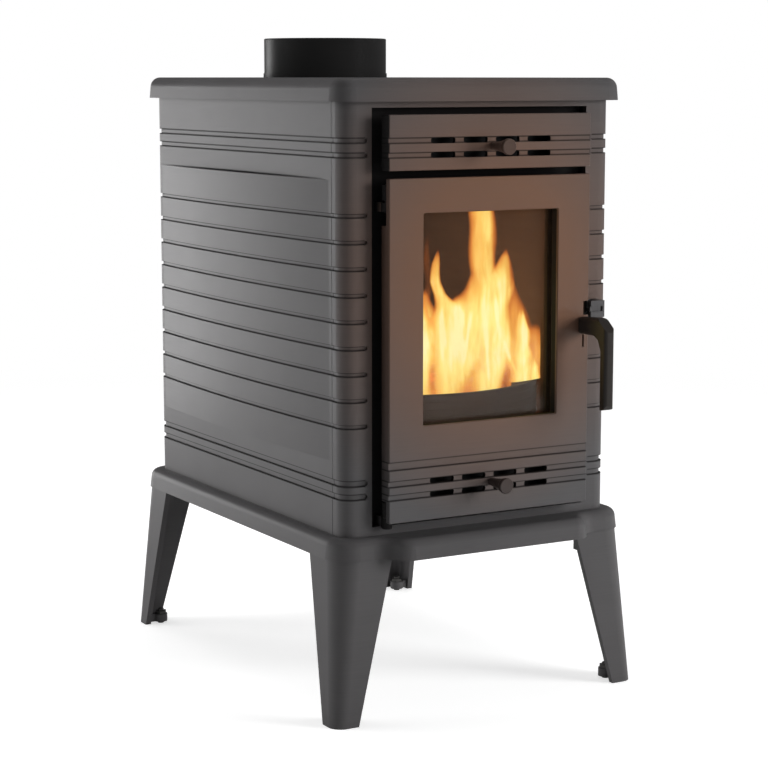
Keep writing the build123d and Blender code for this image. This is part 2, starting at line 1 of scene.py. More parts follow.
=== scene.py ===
import math
import bpy
import numpy as np
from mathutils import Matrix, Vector


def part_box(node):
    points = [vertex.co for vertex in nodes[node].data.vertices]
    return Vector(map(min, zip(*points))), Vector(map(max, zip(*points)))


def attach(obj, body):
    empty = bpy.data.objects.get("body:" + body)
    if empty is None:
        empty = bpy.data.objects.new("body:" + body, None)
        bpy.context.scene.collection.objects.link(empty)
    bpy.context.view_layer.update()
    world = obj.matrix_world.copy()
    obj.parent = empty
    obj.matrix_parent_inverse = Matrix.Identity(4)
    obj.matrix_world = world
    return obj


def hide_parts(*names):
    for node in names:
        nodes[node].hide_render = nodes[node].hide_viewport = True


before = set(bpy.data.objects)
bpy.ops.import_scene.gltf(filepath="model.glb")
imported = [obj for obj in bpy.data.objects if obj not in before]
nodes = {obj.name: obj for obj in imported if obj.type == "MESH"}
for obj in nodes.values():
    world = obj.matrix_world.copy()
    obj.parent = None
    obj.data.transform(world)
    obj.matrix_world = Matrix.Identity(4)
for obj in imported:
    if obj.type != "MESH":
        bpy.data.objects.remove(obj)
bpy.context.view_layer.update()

scene = bpy.context.scene
scene.view_settings.view_transform = "Standard"
print("frame loaded:", len(nodes), "cast and fixed pieces")

mm = 0.001
floorSetBack = 21 * mm                                # fire floor behind the body's front face
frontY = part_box("fire_floor")[0].y - floorSetBack     # front face of the body
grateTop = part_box("grate")[1].z
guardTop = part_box("log_guard")[1].z
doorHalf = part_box("upper_air_panel")[1].x             # the door is as wide as the panel above it
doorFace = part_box("upper_air_panel")[0].y
white = (1, 1, 1, 1)


# Short ways to write shader nodes
def newMaterial(name):
    mat = bpy.data.materials.new(name)
    mat.use_nodes = True
    mat.node_tree.nodes.clear()
    return mat, mat.node_tree


def addNode(tree, kind, inputs=None, **props):
    node = tree.nodes.new(kind)
    for key, value in props.items():
        setattr(node, key, value)
    for key, value in (inputs or {}).items():
        socket = node.inputs[key]
        if isinstance(value, bpy.types.NodeSocket):
            tree.links.new(value, socket)
        else:
            socket.default_value = value
    return node


def objectPoint(tree, scale=(1, 1, 1)):
    # Object coordinates, stretched by scale.
    coord = addNode(tree, "ShaderNodeTexCoord")
    inputs = {"Vector": coord.outputs["Object"], "Scale": scale}
    return addNode(tree, "ShaderNodeMapping", inputs).outputs[0]


def axes(tree, vector):
    parts = addNode(tree, "ShaderNodeSeparateXYZ", {"Vector": vector})
    return parts.outputs["X"], parts.outputs["Y"], parts.outputs["Z"]


def noise(tree, vector, scale, detail=3.0, rough=0.55):
    inputs = {"Vector": vector, "Scale": scale, "Detail": detail, "Roughness": rough}
    return addNode(tree, "ShaderNodeTexNoise", inputs).outputs["Fac"]


def remap(tree, value, low, high, toLow, toHigh):
    inputs = {"Value": value, "From Min": low, "From Max": high, "To Min": toLow, "To Max": toHigh}
    return addNode(tree, "ShaderNodeMapRange", inputs).outputs["Result"]


def spread(tree, value, toLow, toHigh, margin=0.2):
    # Noise lies mostly within this margin of one half, so that part is stretched.
    return remap(tree, value, 0.5 - margin, 0.5 + margin, toLow, toHigh)


def calc(tree, operation, a, b=0.0):
    return addNode(tree, "ShaderNodeMath", {0: a, 1: b}, operation=operation).outputs[0]


def times(tree, a, b):
    return calc(tree, "MULTIPLY", a, b)


def plus(tree, a, b):
    return calc(tree, "ADD", a, b)


def larger(tree, a, b):
    return calc(tree, "MAXIMUM", a, b)


def distanceTo(tree, value, centre):
    return calc(tree, "ABSOLUTE", calc(tree, "SUBTRACT", value, centre))


def nearLine(tree, value, centre, half):
    # 1 up to 0.4 of the distance half on both sides of value = centre, falling to 0 at half.
    return remap(tree, distanceTo(tree, value, centre), half * 0.4, half, 1, 0)


def mixColour(tree, factor, a, b):
    node = tree.nodes.new("ShaderNodeMix")
    node.data_type = "RGBA"
    for index, value in ((0, factor), (6, a), (7, b)):     # the colour sockets of this node
        if isinstance(value, bpy.types.NodeSocket):
            tree.links.new(value, node.inputs[index])
        else:
            node.inputs[index].default_value = value
    return node.outputs[2]


def mixShaders(tree, factor, a, b):
    return addNode(tree, "ShaderNodeMixShader", {0: factor, 1: a, 2: b}).outputs[0]


def emission(tree, colour, strength):
    return addNode(tree, "ShaderNodeEmission", {"Color": colour, "Strength": strength}).outputs[0]


def bumps(tree, height, strength, depth, under=None):
    inputs = {"Height": height, "Strength": strength, "Distance": depth}
    if under is not None:
        inputs["Normal"] = under
    return addNode(tree, "ShaderNodeBump", inputs).outputs[0]


def closeMaterial(tree, shader):
    out = addNode(tree, "ShaderNodeOutputMaterial")
    tree.links.new(shader, out.inputs["Surface"])


def principled(tree, inputs):
    closeMaterial(tree, addNode(tree, "ShaderNodeBsdfPrincipled", inputs).outputs[0])


# Painted cast iron. The grooves hold a line of painted shade along both of their edges.
grooves = {
    "slatTop": 554.1 * mm,
    "slatPitch": 28.37 * mm,
    "slatCount": 9,
    "slatHeight": 4.8 * mm,
    "upper": (633.9 * mm, 628.4 * mm, 618.3 * mm, 613.0 * mm),
    "lower": (265.6 * mm, 259.3 * mm, 250.7 * mm, 244.5 * mm),
    "doorBand": (286.4 * mm, 277.7 * mm),
    "frontEnd": 146 * mm,
    "line": 1.1 * mm,
    "inset": 0.3 * mm,
    "above": 0.02,             # the slat lines start this share of a pitch above the first slat
    "below": 0.3,              # and end this share below the last one's top
    "ledge": 590 * mm,
    "ledgeMiddle": 251 * mm,
    "ledgeHalf": 219 * mm,
    "shade": 0.7,
    "rough": 0.35,
}

castSurface = {
    "streaks": (22, 22, 850),  # long and level
    "streakDetail": 5,
    "streakRough": 0.6,
    "streakTone": (-0.18, 0.22),
    "streakGloss": (-0.03, 0.04),
    "clouds": 9,
    "cloudTone": (0.2, 0.6),
    "grains": 1400,
    "bump": 0.3,
    "leastPaintedGlow": 0.90,
    "shadow": (0.010, 0.009, 0.009, 1),
    "shadowRough": 0.45,
}

ironPaint = {
    "colour": (0.078, 0.075, 0.077, 1),
    "paler": (0.100, 0.096, 0.098, 1),
    # colour of the painted fire light round the window
    "paintedFireGlow": (0.170, 0.088, 0.054, 1),
    "roughness": 0.36,
    "specular": 0.36,
    "grain": 0.04 * mm,
    "streak": 0.012 * mm,
}

brushedPaint = dict(ironPaint, streak=0.035 * mm)
knobPaint = dict(ironPaint, colour=(0.034, 0.030, 0.030, 1), paler=(0.044, 0.040, 0.040, 1))

blackPaint = {
    "colour": (0.012, 0.012, 0.012, 1),
    "paler": (0.020, 0.019, 0.019, 1),
    "roughness": 0.36,
    "specular": 0.36,
    "grain": 0.04 * mm,
    "streak": 0.01 * mm,
}

handlePaint = dict(blackPaint, colour=(0.022, 0.018, 0.016, 1), paler=(0.032, 0.027, 0.024, 1),
                   roughness=0.45)

sootyIron = {
    "colour": (0.042, 0.032, 0.025, 1),
    "paler": (0.070, 0.055, 0.043, 1),
    "roughness": 0.75,
    "specular": 0.2,
    "grain": 0.12 * mm,
    "streak": 0.06 * mm,
}

guardPaint = dict(sootyIron, colour=(0.007, 0.004, 0.003, 1), paler=(0.018, 0.011, 0.008, 1),
                  specular=0.1)


def slatShadeLines(tree, z):
    # Distance down from the top slat, folded by the pitch: a line of painted shade at each edge of the
    # groove.
    down = calc(tree, "SUBTRACT", grooves["slatTop"], z)
    turns = calc(tree, "DIVIDE", down, grooves["slatPitch"])
    folded = times(tree, calc(tree, "FRACT", turns), grooves["slatPitch"])
    top = nearLine(tree, folded, grooves["inset"], grooves["line"])
    bottom = nearLine(tree, folded, grooves["slatHeight"] - grooves["inset"], grooves["line"])
    started = calc(tree, "GREATER_THAN", turns, -grooves["above"])
    going = calc(tree, "LESS_THAN", turns, grooves["slatCount"] - 1 + grooves["below"])
    return times(tree, larger(tree, top, bottom), times(tree, started, going))


def ledgeShadeLine(tree, y, z):
    # A line of painted shade where the bowed part of a wall ends: 1 - (offset / half length)^2 along the
    # wall.
    along = calc(tree, "SUBTRACT", y, frontY + grooves["ledgeMiddle"])
    offset = calc(tree, "DIVIDE", along, grooves["ledgeHalf"])
    share = calc(tree, "SUBTRACT", 1.0, times(tree, offset, offset))
    share.node.use_clamp = True
    return times(tree, share, nearLine(tree, z, grooves["ledge"], grooves["line"]))


def grooveShade(tree, x, y, z, edges, slats, outerOnly, ledge):
    # Painted shade: a dark line at each groove edge, along the slats and at the ledge.
    shade = nearLine(tree, z, edges[0], grooves["line"])
    for edge in edges[1:]:
        shade = larger(tree, shade, nearLine(tree, z, edge, grooves["line"]))
    if slats:
        shade = larger(tree, shade, slatShadeLines(tree, z))
    if outerOnly:
        outside = calc(tree, "GREATER_THAN", calc(tree, "ABSOLUTE", x), grooves["frontEnd"])
        shade = times(tree, shade, outside)
    if ledge:
        shade = larger(tree, shade, ledgeShadeLine(tree, y, z))
    return shade


# Painted light: the reddish light of the fire, painted on the paint round the window
paintedFireLightPlaces = {
    "middle": 480 * mm,
    "wide": 185 * mm,
    "tall": 200 * mm,
    "full": 0.55,              # share of the ellipse's radius inside which it is full
    "none": 1.35,
    "deep": 20 * mm,
}


def paintedFireLight(tree, x, y, z):
    # Painted fire light in an ellipse round the window on the faces that look forward: full beside it, none
    # further out.
    dx = calc(tree, "DIVIDE", x, paintedFireLightPlaces["wide"])
    dz = calc(tree, "DIVIDE", calc(tree, "SUBTRACT", z, paintedFireLightPlaces["middle"]), paintedFireLightPlaces["tall"])
    distance = calc(tree, "SQRT", plus(tree, times(tree, dx, dx), times(tree, dz, dz)))
    near = remap(tree, distance, paintedFireLightPlaces["full"], paintedFireLightPlaces["none"], 1, 0)
    return times(tree, near, remap(tree, y, frontY, frontY + paintedFireLightPlaces["deep"], 1, 0))


# Where the castings are painted dark: painted shade in the recess, deeper than the grooves and on the shaded
# outer sides, and the dark hinge lugs. Depths count from the door's or the body's face.
paintedShadeAndDarkPlaces = {
    "side": (0.3 * mm, 1 * mm),
    "deep": (2.5 * mm, 3 * mm),
    "doorSide": (117 * mm, 119 * mm),
    "doorSideShare": 0.45,
    "lugX": -117 * mm,
    "lugY": -14.5 * mm,
    "lugLevels": (233 * mm, 576 * mm),
    "lugHalf": 10 * mm,
    "recessHalf": 146 * mm,
    "recess": (0.5 * mm, 9 * mm),
    "frameLugs": (-1.5 * mm, -1 * mm),
}


def panelShade(tree, x, y, z):
    # Painted shade on the outer sides and on all that lies deeper than the grooves.
    sideStart, sideFull = paintedShadeAndDarkPlaces["side"]
    deepStart, deepFull = paintedShadeAndDarkPlaces["deep"]
    outer = calc(tree, "GREATER_THAN", calc(tree, "ABSOLUTE", x), doorHalf - sideStart)
    sides = times(tree, outer, remap(tree, y, doorFace + sideStart, doorFace + sideFull, 0, 1))
    return larger(tree, sides, remap(tree, y, doorFace + deepStart, doorFace + deepFull, 0, 1))


def doorShade(tree, x, y, z):
    # The same painted shade, only half as dark on the outer sides; the hinge lugs are fully dark.
    start, full = paintedShadeAndDarkPlaces["doorSide"]
    outer = remap(tree, calc(tree, "ABSOLUTE", x), start, full, 1, paintedShadeAndDarkPlaces["doorSideShare"])
    shade = times(tree, panelShade(tree, x, y, z), outer)
    levels = [calc(tree, "LESS_THAN", distanceTo(tree, z, level), paintedShadeAndDarkPlaces["lugHalf"])
              for level in paintedShadeAndDarkPlaces["lugLevels"]]
    beside = calc(tree, "LESS_THAN", x, paintedShadeAndDarkPlaces["lugX"])
    behind = calc(tree, "GREATER_THAN", y, frontY + paintedShadeAndDarkPlaces["lugY"])
    lugs = times(tree, times(tree, beside, behind), larger(tree, *levels))
    return larger(tree, shade, lugs)


def frameShade(tree, x, y, z):
    # Painted shade in the recess, deeper inwards; dark on the hinge lugs in front of the face.
    start, full = paintedShadeAndDarkPlaces["recess"]
    lugFull, lugNone = paintedShadeAndDarkPlaces["frameLugs"]
    inside = calc(tree, "LESS_THAN", calc(tree, "ABSOLUTE", x), paintedShadeAndDarkPlaces["recessHalf"])
    recess = times(tree, inside, remap(tree, y, frontY + start, frontY + full, 0, 1))
    return larger(tree, recess, remap(tree, y, frontY + lugFull, frontY + lugNone, 1, 0))


def castIron(name, look, edges=(), slats=False, outerOnly=False, ledge=False, paintedFireGlow=0.0, dark=None):
    # Two tones mixed by broad clouds and long level streaks; the height is fine grain and the streaks.
    surface = castSurface
    mat, tree = newMaterial(name)
    point = objectPoint(tree)
    x, y, z = axes(tree, point)
    streaks = noise(tree, objectPoint(tree, surface["streaks"]), 1.0, surface["streakDetail"],
                    surface["streakRough"])
    clouds = noise(tree, point, surface["clouds"])
    grains = noise(tree, point, surface["grains"], 2)
    tone = plus(tree, spread(tree, clouds, *surface["cloudTone"], margin=0.15),
                spread(tree, streaks, *surface["streakTone"]))
    tone.node.use_clamp = True
    colour = mixColour(tree, tone, look["colour"], look["paler"])
    # Painted light: the fire's reddish glow on the paint round the window.
    if paintedFireGlow:
        glow = times(tree, paintedFireLight(tree, x, y, z), paintedFireGlow)
        uneven = times(tree, glow, spread(tree, streaks, surface["leastPaintedGlow"], 1.0))
        colour = mixColour(tree, uneven, colour, look["paintedFireGlow"])
    smoother, rougher = surface["streakGloss"]
    rough = spread(tree, streaks, look["roughness"] + smoother, look["roughness"] + rougher)
    # Painted shade in the recess, the deep slots and the shaded sides, and the dark hinge lugs, where dark
    # marks them.
    if dark:
        shadeAndLugs = dark(tree, x, y, z)
        colour = mixColour(tree, shadeAndLugs, colour, surface["shadow"])
        rough = plus(tree, rough, times(tree, shadeAndLugs, surface["shadowRough"]))
    # Painted shade along the edges of the grooves and the ledge.
    if edges:
        shade = grooveShade(tree, x, y, z, edges, slats, outerOnly, ledge)
        colour = mixColour(tree, times(tree, shade, grooves["shade"]), colour, surface["shadow"])
        rough = plus(tree, rough, times(tree, shade, grooves["rough"]))
    grainy = bumps(tree, grains, surface["bump"], look["grain"])
    principled(tree, {
        "Base Color": colour,
        "Roughness": rough,
        "Specular IOR Level": look["specular"],
        "Normal": bumps(tree, streaks, surface["bump"], look["streak"], grainy),
    })
    return mat


darkSteel = {
    "colour": (0.09, 0.088, 0.085, 1),
    "paler": (0.14, 0.135, 0.13, 1),
    "roughness": 0.38,
    "gloss": (-0.08, 0.1),
    "metallic": 0.8,
    "lines": (400, 400, 4000),
    "bump": 0.2,
    "depth": 0.05 * mm,
}


def steel(name, look):
    # One dark grey, with fine turned lines that change its tone, gloss and height.
    mat, tree = newMaterial(name)
    lines = noise(tree, objectPoint(tree, look["lines"]), 1.0)
    smoother, rougher = look["gloss"]
    principled(tree, {
        "Base Color": mixColour(tree, spread(tree, lines, 0, 1), look["colour"], look["paler"]),
        "Roughness": spread(tree, lines, look["roughness"] + smoother, look["roughness"] + rougher),
        "Metallic": look["metallic"],
        "Normal": bumps(tree, lines, look["bump"], look["depth"]),
    })
    return mat


ropeLook = {
    "dark": (0.05, 0.046, 0.042, 1),
    "pale": (0.16, 0.148, 0.135, 1),
    "weave": 180.0,
    "wander": 1.5,
    "specks": 900,
    "heights": (0.3, 1.5),
    "roughness": 0.95,
    "bump": 0.8,
    "depth": 0.6 * mm,
}


def fibre(name, look):
    # Grey plaited fibre: slanting waves plus specks give both the weave's height and its tone.
    mat, tree = newMaterial(name)
    point = objectPoint(tree)
    waves = addNode(tree, "ShaderNodeTexWave", {
        "Vector": point, "Scale": look["weave"], "Distortion": look["wander"]}, bands_direction="DIAGONAL")
    height = plus(tree, waves.outputs["Fac"], noise(tree, point, look["specks"]))
    share = remap(tree, height, *look["heights"], 0, 1)
    principled(tree, {
        "Base Color": mixColour(tree, share, look["dark"], look["pale"]),
        "Roughness": look["roughness"],
        "Normal": bumps(tree, height, look["bump"], look["depth"]),
    })
    return mat


paneLook = {
    "clear": (0.97, 0.95, 0.93, 1),
    "smoked": (0.92, 0.88, 0.84, 1),
    "film": (0.26, 0.17, 0.12, 1),
    "filmShare": 0.08,
    "uneven": 0.2,
    "clouds": 12,
    "roughness": 0.05,
    "ior": 1.22,
}


def paneGlass(name, look):
    # Clear glass under a thin brown film, both uneven in broad clouds, with a sharp weak reflection.
    mat, tree = newMaterial(name)
    clouds = noise(tree, objectPoint(tree), look["clouds"])
    tint = mixColour(tree, spread(tree, clouds, 0, 1), look["clear"], look["smoked"])
    clear = addNode(tree, "ShaderNodeBsdfTransparent", {"Color": tint}).outputs[0]
    film = addNode(tree, "ShaderNodeBsdfDiffuse", {"Color": look["film"]}).outputs[0]
    thin, thick = look["filmShare"] * (1 - look["uneven"]), look["filmShare"] * (1 + look["uneven"])
    hazed = mixShaders(tree, spread(tree, clouds, thin, thick), clear, film)
    gloss = addNode(tree, "ShaderNodeBsdfGlossy", {"Roughness": look["roughness"], "Color": white}).outputs[0]
    facing = addNode(tree, "ShaderNodeFresnel", {"IOR": look["ior"]}).outputs[0]
    closeMaterial(tree, mixShaders(tree, facing, hazed, gloss))
    return mat


liningLook = {
    "colour": (0.058, 0.042, 0.031, 1),
    "paler": (0.085, 0.062, 0.046, 1),
    "ribPitch": 12.5 * mm,
    "ribTone": 0.12,
    "ribBump": 0.5,
    "ribDepth": 0.4 * mm,
    "clouds": 14,
    "cloudTone": (0, 0.8),
    "grains": 300,
    "grainBump": 0.2,
    "grainDepth": 0.10 * mm,
    "roughness": 0.8,
    "specular": 0.25,
}


def ribbedLining(name, look):
    # Sooty plates with level ribs: a wave of height z repeated every ribPitch, under uneven soot.
    mat, tree = newMaterial(name)
    point = objectPoint(tree)
    z = axes(tree, point)[2]
    turns = calc(tree, "DIVIDE", z, look["ribPitch"])
    ribs = calc(tree, "SINE", times(tree, turns, 2 * math.pi))
    clouds = noise(tree, point, look["clouds"], 5, 0.6)
    grains = noise(tree, point, look["grains"], 4)
    tone = plus(tree, spread(tree, clouds, *look["cloudTone"], margin=0.15),
                times(tree, ribs, look["ribTone"]))
    tone.node.use_clamp = True
    grainy = bumps(tree, grains, look["grainBump"], look["grainDepth"])
    principled(tree, {
        "Base Color": mixColour(tree, tone, look["colour"], look["paler"]),
        "Roughness": look["roughness"],
        "Specular IOR Level": look["specular"],
        "Normal": bumps(tree, ribs, look["ribBump"], look["ribDepth"], grainy),
    })
    return mat


allLevels = grooves["upper"] + grooves["lower"]
doorLevels = grooves["lower"] + grooves["doorBand"]
iron = castIron("anthracite cast iron", ironPaint)
ironTop = castIron("anthracite cast iron, top", ironPaint, paintedFireGlow=0.75)
ironWall = castIron("anthracite cast iron, ribbed wall", ironPaint, allLevels, slats=True, ledge=True)
ironFront = castIron("anthracite cast iron, front", ironPaint, allLevels, slats=True, outerOnly=True,
                     paintedFireGlow=0.7, dark=frameShade)
ironPanel = castIron("anthracite cast iron, air panel", brushedPaint, grooves["upper"], paintedFireGlow=0.9,
                     dark=panelShade)
ironDoor = castIron("anthracite cast iron, door", brushedPaint, doorLevels, paintedFireGlow=1.0, dark=doorShade)
knobIron = castIron("anthracite knob", knobPaint, paintedFireGlow=0.45)
guardIron = castIron("sooty log guard", guardPaint)
black = castIron("satin black iron", blackPaint)
handleBlack = castIron("satin black handle", handlePaint)
soot = castIron("sooty firebox iron", sootyIron)
lining = ribbedLining("ribbed firebox lining", liningLook)
bright = steel("darkened steel", darkSteel)
rope = fibre("fibre rope", ropeLook)
glass = paneGlass("stove glass", paneLook)

finishes = {
    iron: ["base_frame", "leg_front_right", "leg_front_left", "leg_rear_right", "leg_rear_left", "rear_wall",
           "bottom_plate", "latch_keeper"],
    ironTop: ["top_plate"],
    ironWall: ["side_wall_left", "side_wall_right"],
    ironFront: ["front_frame"],
    ironPanel: ["upper_air_panel"],
    ironDoor: ["door_frame"],
    # The dampers are satin black as painted shade seen through the air slots.
    black: ["flue_collar", "upper_damper", "lower_damper"],
    knobIron: ["upper_knob", "lower_knob"],
    guardIron: ["log_guard"],
    handleBlack: ["door_handle", "hinge_pins", "hinge_washer", "handle_spindle"],
    soot: ["fire_floor", "grate", "baffle_plate"],
    lining: ["side_lining_left", "side_lining_right", "rear_lining"],
    bright: ["leg_bolts", "levelling_studs", "levelling_nuts", "tie_rods", "tie_rod_nuts", "collar_bolts",
             "upper_panel_bolts", "keeper_screws", "glass_clips", "clip_screws", "latch_blade", "spindle_nut",
             "ash_pan"],
    rope: ["door_rope", "glass_gasket"],
    glass: ["glass_pane"],
}
for material, names in finishes.items():
    for name in names:
        mesh = nodes[name].data
        mesh.materials.clear()
        mesh.materials.append(material)
print("materials set")


# Mesh makers
def putMesh(name, points, faces, material, smooth=True):
    mesh = bpy.data.meshes.new(name)
    mesh.from_pydata(points.tolist(), [], faces.tolist())
    if smooth:
        mesh.shade_smooth()
    mesh.materials.append(material)
    obj = bpy.data.objects.new(name, mesh)
    scene.collection.objects.link(obj)
    return obj


def joinSheets(name, outer, inner, material):
    # Two grids of points with one outline, their backs to each other, joined round the rim.
    # Seen from outside, the outer grid's rows go up and its columns go right.
    rows, cols = outer.shape[:2]
    count = rows * cols
    index = np.arange(count).reshape(rows, cols)
    corners = [index[:-1, :-1], index[:-1, 1:], index[1:, 1:], index[1:, :-1]]
    faces = np.stack(corners, axis=-1).reshape(-1, 4)
    rim = np.concatenate([index[0, :-1], index[:-1, -1], index[-1, :0:-1], index[:0:-1, 0]])
    following = np.roll(rim, -1)
    strip = np.stack([rim, rim + count, following + count, following], axis=-1)
    points = np.concatenate([outer.reshape(-1, 3), inner.reshape(-1, 3)])
    return putMesh(name, points, np.concatenate([faces, faces[:, ::-1] + count, strip]), material)


# Firewood: split logs, charred and cracked, in the place of the plain ones
logLook = {
    "char": (0.012, 0.009, 0.008, 1),
    "ash": (0.20, 0.15, 0.12, 1),
    "ashShare": 0.7,
    "ashUp": 0.3,              # ash lies where the face looks up more than this
    "ember": (1.0, 0.22, 0.03, 1),
    "glow": 1.6,
    "stretch": (0.45, 1, 1),
    "cracks": 75.0,
    "crackHot": 0.07,
    "crackWide": 0.12,
    "crackDepth": 1.2 * mm,
    "crackBump": 0.8,
    "clouds": 30,
    "ashClouds": (0.45, 0.6),  # cloud values between which the ash comes in
    "hotClouds": (0.42, 0.6),  # and between which the cracks go out
    "coldGlow": 0.05,
    "roughness": 0.9,
}

# Ends in mm, y counted from the body's front face; split is the side cut flat, in degrees.
logs = {
    "log_rear": {"from": (-111, 146, 325.5), "to": (117, 140, 325.5), "radius": 24.5, "split": 20, "seed": 3},
    "log_front": {"from": (-71, 86, 323.0), "to": (85, 84, 323.0), "radius": 22.0, "split": 250, "seed": 11},
    "log_upper": {"from": (-95, 114, 358.0), "to": (51, 106, 357.0), "radius": 17.5, "split": 90, "seed": 27},
}

# Heights and cap sizes are shares of the log's radius; places are shares of its length.
logShape = {
    "rows": 90,
    "around": 96,
    "swell": 0.035,
    "dents": 0.025,
    "bark": 0.018,
    "flat": 0.62,
    "flatWaves": 0.02,
    "capPlaces": (0, 0, 0.001, 0.003),
    "capSizes": (0.0, 0.5, 0.9, 1.0),
    "bodyStart": 0.006,
}


def charredWood(name, look):
    # Black blocks parted by cracks that glow; pale ash where the faces look up.
    mat, tree = newMaterial(name)
    crack = addNode(tree, "ShaderNodeTexVoronoi", {
        "Vector": objectPoint(tree, look["stretch"]), "Scale": look["cracks"]},
        feature="DISTANCE_TO_EDGE").outputs["Distance"]
    clouds = noise(tree, objectPoint(tree), look["clouds"], 4)
    up = axes(tree, addNode(tree, "ShaderNodeNewGeometry").outputs["Normal"])[2]
    lying = remap(tree, up, look["ashUp"], 1.0, 0, look["ashShare"])
    ash = times(tree, lying, remap(tree, clouds, *look["ashClouds"], 0, 1))
    lit = remap(tree, clouds, *look["hotClouds"], 1, look["coldGlow"])
    hot = times(tree, remap(tree, crack, 0.0, look["crackHot"], 1, 0), lit)
    depth = remap(tree, crack, 0.0, look["crackWide"], 0, 1)
    principled(tree, {
        "Base Color": mixColour(tree, ash, look["char"], look["ash"]),
        "Roughness": look["roughness"],
        "Emission Color": look["ember"],
        "Emission Strength": times(tree, hot, look["glow"]),
        "Normal": bumps(tree, depth, look["crackBump"], look["crackDepth"]),
    })
    return mat


def logMesh(name, spec, material):
    # A tube from end to end. Its radius swells by sine waves round and along it, and one side is cut
    # flat where the log was split. The end rows shrink to a point and close it.
    shape = logShape
    start = np.array(spec["from"]) * mm + (0, frontY, 0)
    end = np.array(spec["to"]) * mm + (0, frontY, 0)
    along = (end - start) / np.linalg.norm(end - start)
    side = np.cross(along, [0, 0, 1.0])
    side /= np.linalg.norm(side)
    up = np.cross(side, along)
    capPlaces = np.array(shape["capPlaces"])
    capSizes = np.array(shape["capSizes"])
    body = np.linspace(shape["bodyStart"], 1 - shape["bodyStart"], shape["rows"])
    t = np.concatenate([capPlaces, body, 1 - capPlaces[::-1]])[:, None]
    shrink = np.concatenate([capSizes, np.ones(shape["rows"]), capSizes[::-1]])[:, None]
    a = np.linspace(0, 2 * np.pi, shape["around"], endpoint=False)[None, :]
    k = spec["seed"]
    swell = shape["swell"] * np.sin(3 * a + 5 * t + k)
    dents = shape["dents"] * np.sin(7 * a - 11 * t + 2 * k)
    bark = shape["bark"] * np.sin(23 * a + 4 * np.sin(9 * t + k)) * np.sin(31 * t + 5 * a + k)
    r = 1 - shape["swell"] - shape["dents"] - shape["bark"] + swell + dents + bark
    turn = np.cos(a - math.radians(spec["split"]))
    flat = shape["flat"] + shape["flatWaves"] * np.sin(40 * t + 3 * a)
    r = np.where(turn > 0, np.minimum(r, flat / np.maximum(turn, 0.05)), r)
    r = r * shrink * spec["radius"] * mm
    ring = (r * np.cos(a))[..., None] * side + (r * np.sin(a))[..., None] * up
    p = start + t[..., None] * (end - start) + ring
    rows, cols = r.shape
    index = np.arange(rows * cols).reshape(rows, cols)
    ahead = np.roll(index, -1, axis=1)
    faces = np.stack([index[:-1], ahead[:-1], ahead[1:], index[1:]], axis=-1).reshape(-1, 4)
    return putMesh(name, p.reshape(-1, 3), faces, material)


charred = charredWood("charred firewood", logLook)
for name, spec in logs.items():
    log = logMesh(name, spec, charred)
    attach(log, "stove")
    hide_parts("firewood")
print("firewood made")


# Fire. Each tongue is a list of (height, middle, half width, heat) in mm, from its tip down.
frontTongues = [
    [(592, 34, 9, 0.5), (574, 34, 13, 0.58), (546, 35, 15, 0.66), (511, 38, 16, 0.70), (478, 38, 14, 0.78),
     (461, 36, 20, 0.85), (450, 34, 27, 0.85), (438, 36, 30, 0.88), (419, 40, 27, 0.85), (376, 39, 26, 0.72),
     (330, 38, 22, 0.5)],
    [(506, -24, 1, 0.3), (492, -25, 4, 0.55), (471, -24, 5, 0.85), (457, -20, 6, 0.9), (447, -15, 10, 0.9),
     (436, -11, 15, 0.9), (414, -9, 20, 0.9), (372, -8, 20, 0.85), (330, -8, 16, 0.3)],
    [(450, 4, 8, 0.5), (443, 3, 18, 0.8), (430, -1, 26, 1.0), (384, -4, 26, 1.0), (366, -5, 22, 0.55),
     (330, -5, 20, 0.3)],
    [(502, 73, 2, 0.4), (488, 71, 9, 0.6), (476, 67, 14, 0.7), (463, 65, 15, 0.8), (450, 63, 13, 0.8),
     (438, 57, 14, 0.8), (420, 55, 18, 0.75), (380, 52, 20, 0.7), (330, 46, 12, 0.7)],
    [(466, 84, 3, 0.2), (442, 83, 13, 0.35), (425, 84, 20, 0.42), (408, 84, 25, 0.5), (380, 80, 28, 0.62),
     (364, 78, 26, 0.4), (330, 78, 22, 0.1)],
    [(432, 100, 1, 0.5), (415, 99, 6, 0.8), (407, 99, 9, 0.95), (390, 97, 10, 1.0), (376, 101, 13, 1.0),
     (363, 106, 17, 1.0), (345, 105, 22, 1.0)],
    [(412, 124, 8, 0.25), (398, 123, 12, 0.4), (379, 123, 12, 0.48), (349, 123, 12, 0.5)],
    [(450, -42, 3, 0.4), (427, -42, 9, 0.85), (407, -42, 11, 0.9), (383, -42, 11, 0.85), (330, -40, 10, 0.6)],
    [(534, -36, 1, 0.06), (498, -35, 5, 0.12), (470, -36, 5, 0.10), (450, -36, 4, 0.2)],
    [(478, -74, 1, 0.4), (455, -73, 7, 0.7), (430, -69, 12, 0.9), (400, -66, 17, 1.0), (330, -66, 20, 0.6)],
    [(424, -103, 1, 0.4), (405, -101, 6, 0.8), (385, -98, 11, 0.9), (349, -97, 17, 0.9)],
]

rearTongues = [
    [(455, -78, 1, 0.3), (430, -76, 9, 0.6), (395, -72, 18, 0.8), (345, -72, 26, 0.8)],
    [(436, -20, 2, 0.3), (420, -22, 14, 0.6), (390, -24, 28, 0.8), (345, -24, 30, 0.8)],
    [(448, 34, 2, 0.3), (425, 30, 14, 0.7), (390, 28, 26, 0.8), (345, 28, 30, 0.8)],
    [(424, 84, 1, 0.3), (405, 84, 9, 0.6), (380, 80, 18, 0.8), (345, 80, 26, 0.8)],
]

